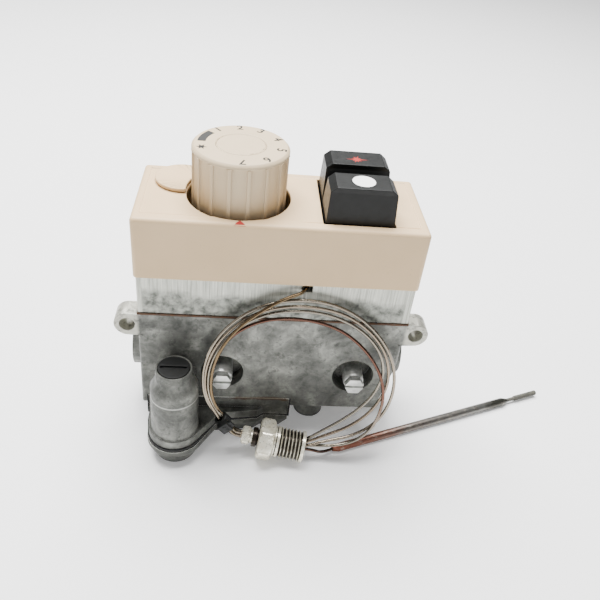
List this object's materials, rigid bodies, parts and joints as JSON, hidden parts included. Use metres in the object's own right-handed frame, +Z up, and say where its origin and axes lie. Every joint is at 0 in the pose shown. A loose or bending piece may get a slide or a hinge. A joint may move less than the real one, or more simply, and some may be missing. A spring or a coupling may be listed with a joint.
{
  "type": "gas control valve",
  "caption": "Combination gas control valve: dial thermostat with capillary sensing bulb, two push keys, regulator tower, threaded side ports and fixing lugs.",
  "frame": {"origin": "centre of the valve's footprint box at the plane it stands on, measured without the capillary, gland and bulb", "axes": "+X towards the gas outlet, -Y towards the front with the test nipples, +Z up through the dial"},
  "size_m": [0.2059, 0.0684, 0.1308],
  "materials": {
    "cover_plastic": "fine-textured warm beige ABS",
    "black_plastic": "satin black nylon",
    "cast_aluminium": "grey die-cast skin, mottled and stained",
    "machined_aluminium": "ground with upright brush marks",
    "brass": "machined brass, dull nickel flash",
    "nickel_plate": "bright warm nickel plate",
    "zinc_steel": "bright zinc-plated steel",
    "spring_steel": "drawn spring wire",
    "rubber": "black nitrile rubber",
    "gasket_fibre": "brown pressed-fibre sheet",
    "capillary_metal": "drawn capillary, silver with copper-brown stretches",
    "bulb_copper": "oxidised copper, grey towards the tip"
  },
  "bodies": {
    "valve": {"body_gasket": "gasket_fibre", "body_screws": "zinc_steel", "bottom_pan": "cast_aluminium", "bulb_filling_tip": "bulb_copper", "cable_tie": "black_plastic", "capillary_bundle": "capillary_metal", "capillary_coil": "capillary_metal", "capillary_inner_run": "capillary_metal", "capillary_lead": "capillary_metal", "capillary_tail": "capillary_metal", "cover": "cover_plastic", "gland_body": "nickel_plate", "gland_nut": "nickel_plate", "gland_packing": "rubber", "igniter_blanking_plug": "cover_plastic", "ignition_key_spring": "spring_steel", "inlet_filter": "spring_steel", "inlet_test_nipple": "brass", "key_guide": "black_plastic", "lever_pin": "zinc_steel", "magnet_nut": "brass", "magnet_unit": "zinc_steel", "main_valve_seat": "brass", "main_valve_spring": "spring_steel", "off_key_spring": "spring_steel", "outlet_test_nipple": "brass", "pan_screws": "zinc_steel", "pilot_outlet_nut": "brass", "regulator_spring": "spring_steel", "rubber_diaphragm": "rubber", "safety_valve_spring": "spring_steel", "sensing_bulb": "bulb_copper", "spindle_bush": "brass", "thermostat_housing": "machined_aluminium", "valve_body": "cast_aluminium"},
    "dial": {"control_knob": "cover_plastic", "dial_spindle": "zinc_steel"},
    "setpoint": {"bellows_seat": "brass", "thermostat_bellows": "capillary_metal"},
    "lever": {"thermostat_lever": "zinc_steel"},
    "main_valve": {"main_valve_disc": "rubber"},
    "ignition": {"ignition_key": "black_plastic", "ignition_plunger": "zinc_steel"},
    "off": {"off_key": "black_plastic", "off_plunger": "zinc_steel"},
    "safety_valve": {"safety_valve_disc": "rubber"},
    "regulator": {"regulator_plate": "brass"},
    "adjuster": {"regulator_adjuster": "brass"},
    "cap": {"regulator_cap": "black_plastic"},
    "inlet_screw": {"inlet_test_screw": "zinc_steel"},
    "outlet_screw": {"outlet_test_screw": "zinc_steel"},
    "pilot_screw": {"pilot_adjusting_screw": "brass"}
  },
  "joints": [
    {"name": "dial_turn", "type": "hinge", "parent": "valve", "child": "dial", "pos_m": [-0.017, 0.0124, 0.1], "axis": [0, 0, 1], "range_deg": [-287.5, 0]},
    {"name": "setpoint_slide", "type": "slide", "parent": "valve", "child": "setpoint", "axis": [0, 0, 1], "range_m": [-0.0008, 0], "stiffness_N_per_m": 20, "springref_m": 0.005},
    {"name": "lever_rock", "type": "hinge", "parent": "valve", "child": "lever", "pos_m": [-0.007, 0.0124, 0.0688], "axis": [0, 1, 0], "range_deg": [0, 4.59]},
    {"name": "main_valve_lift", "type": "slide", "parent": "valve", "child": "main_valve", "axis": [0, 0, -1], "range_m": [0, 0.0012], "stiffness_N_per_m": 40, "springref_m": -0.001, "deforming": ["main_valve_spring"]},
    {"name": "ignition_press", "type": "slide", "parent": "valve", "child": "ignition", "axis": [0, 0, -1], "range_m": [0, 0.005], "stiffness_N_per_m": 700, "springref_m": -0.002, "deforming": ["ignition_key_spring"]},
    {"name": "off_press", "type": "slide", "parent": "valve", "child": "off", "axis": [0, 0, -1], "range_m": [0, 0.005], "stiffness_N_per_m": 500, "springref_m": -0.002, "deforming": ["off_key_spring"]},
    {"name": "safety_valve_lift", "type": "slide", "parent": "valve", "child": "safety_valve", "axis": [0, 0, -1], "range_m": [0, 0.005], "deforming": ["safety_valve_spring"]},
    {"name": "regulator_lift", "type": "slide", "parent": "valve", "child": "regulator", "axis": [0, 0, 1], "range_m": [0, 0.0008], "stiffness_N_per_m": 40, "springref_m": -0.001, "deforming": ["regulator_spring"]},
    {"name": "adjuster_turn", "type": "hinge", "parent": "valve", "child": "adjuster", "pos_m": [-0.04, -0.02175, 0.04], "axis": [0, 0, 1], "continuous": true},
    {"name": "cap_turn", "type": "hinge", "parent": "valve", "child": "cap", "pos_m": [-0.04, -0.02175, 0.046], "axis": [0, 0, 1], "continuous": true},
    {"name": "inlet_screw_turn", "type": "hinge", "parent": "valve", "child": "inlet_screw", "pos_m": [-0.0208, -0.014, 0.0356], "axis": [0, -1, 0], "continuous": true},
    {"name": "outlet_screw_turn", "type": "hinge", "parent": "valve", "child": "outlet_screw", "pos_m": [0.0363, -0.014, 0.0356], "axis": [0, -1, 0], "continuous": true},
    {"name": "pilot_screw_turn", "type": "hinge", "parent": "valve", "child": "pilot_screw", "pos_m": [0.038, 0.03, 0.05], "axis": [0, 1, 0], "continuous": true}
  ],
  "couplings": [
    {"joint": "setpoint_slide", "follows": "dial_turn", "m_per_rad": 0.000159},
    {"joint": "lever_rock", "follows": "main_valve_lift", "rad_per_m": 66.667},
    {"joint": "safety_valve_lift", "follows": "ignition_press", "ratio": 1}
  ]
}
